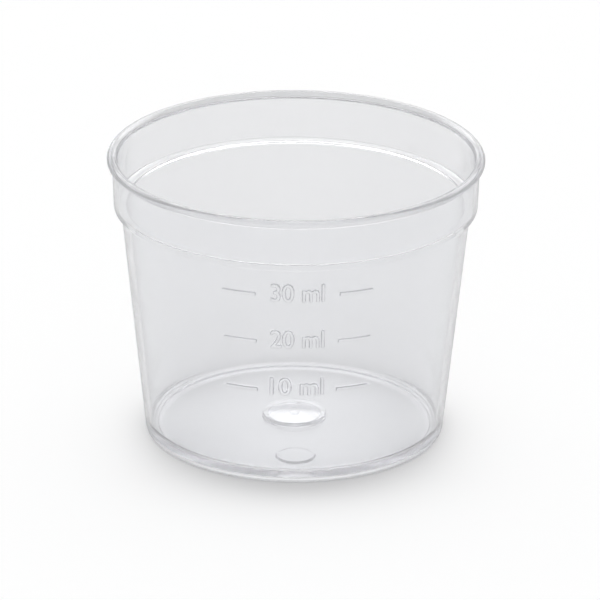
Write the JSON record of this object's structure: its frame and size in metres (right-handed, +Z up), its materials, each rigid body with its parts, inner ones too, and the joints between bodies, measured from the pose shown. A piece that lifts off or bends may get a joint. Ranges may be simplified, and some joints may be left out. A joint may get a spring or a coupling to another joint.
{
  "type": "medicine cup",
  "caption": "Clear plastic medicine cup, tapered, with a beaded rim, a stacking collar, a foot ring and raised volume lines on its wall.",
  "frame": {"origin": "centre of the foot ring, on the plane the cup stands on", "axes": "+Z up along the cup's axis towards the mouth, -Y towards the side with the volume scale"},
  "size_m": [0.047, 0.047, 0.0364],
  "materials": {
    "clear_polypropylene": "natural polypropylene, glossy and see-through with a slight haze"
  },
  "bodies": {
    "root": {"cup": "clear_polypropylene"}
  },
  "joints": []
}
